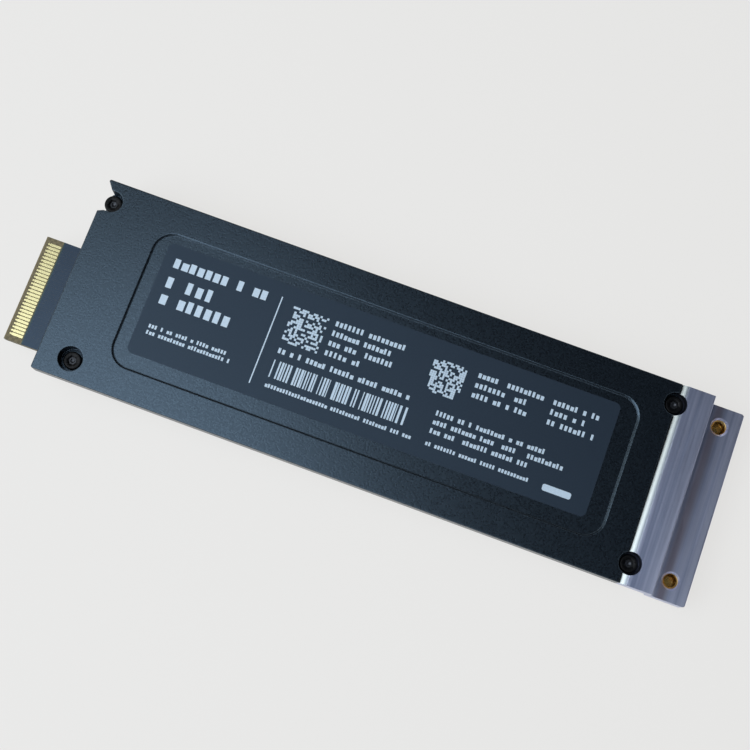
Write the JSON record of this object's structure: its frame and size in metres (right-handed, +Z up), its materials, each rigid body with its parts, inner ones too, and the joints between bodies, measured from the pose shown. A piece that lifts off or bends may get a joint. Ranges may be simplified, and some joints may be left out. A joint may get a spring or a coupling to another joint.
{
  "type": "solid-state drive module",
  "caption": "Flat black solid-state drive module with a gold edge connector at one end and a stepped bare aluminium end piece with latch holes at the other.",
  "frame": {"origin": "centre of the underside of the whole module's box", "axes": "+X from the edge connector to the front end, +Z up through the labelled cover"},
  "size_m": [0.1188, 0.0338, 0.0095],
  "materials": {
    "black_paint": "satin, fine texture",
    "bare_aluminium": "brushed",
    "brass": "machined",
    "black_steel": "black oxide",
    "label_film": "printed film",
    "board_mask": "solder mask",
    "gold_plating": "plated",
    "chip_epoxy": "moulded",
    "capacitor_case": "moulded",
    "ferrite": "pressed",
    "chip_ceramic": "fired",
    "crystal_can": "drawn",
    "thermal_pad": "soft",
    "led_body": "moulded",
    "clear_acrylic": "clear"
  },
  "bodies": {
    "root": {"amber_led": "led_body", "bottom_case": "black_paint", "contact_fingers_bottom": "gold_plating", "contact_fingers_top": "gold_plating", "controller": "chip_epoxy", "controller_pad": "thermal_pad", "cover_screws": "black_steel", "crystal": "crystal_can", "decoupling_capacitors": "chip_ceramic", "dram_1": "chip_epoxy", "dram_2": "chip_epoxy", "front_bracket": "bare_aluminium", "green_led": "led_body", "hold_up_capacitors": "capacitor_case", "inductors": "ferrite", "input_fuse": "chip_ceramic", "label": "label_film", "latch_nuts": "brass", "light_pipe_amber": "clear_acrylic", "light_pipe_green": "clear_acrylic", "main_board": "board_mask", "nand_bottom_1": "chip_epoxy", "nand_bottom_2": "chip_epoxy", "nand_bottom_3": "chip_epoxy", "nand_bottom_4": "chip_epoxy", "nand_bottom_5": "chip_epoxy", "nand_bottom_6": "chip_epoxy", "nand_bottom_7": "chip_epoxy", "nand_bottom_8": "chip_epoxy", "nand_pad_bottom": "thermal_pad", "nand_pad_top": "thermal_pad", "nand_top_1": "chip_epoxy", "nand_top_2": "chip_epoxy", "nand_top_3": "chip_epoxy", "nand_top_4": "chip_epoxy", "power_manager": "chip_epoxy", "temperature_sensor": "chip_epoxy", "top_cover": "black_paint"}
  },
  "joints": []
}
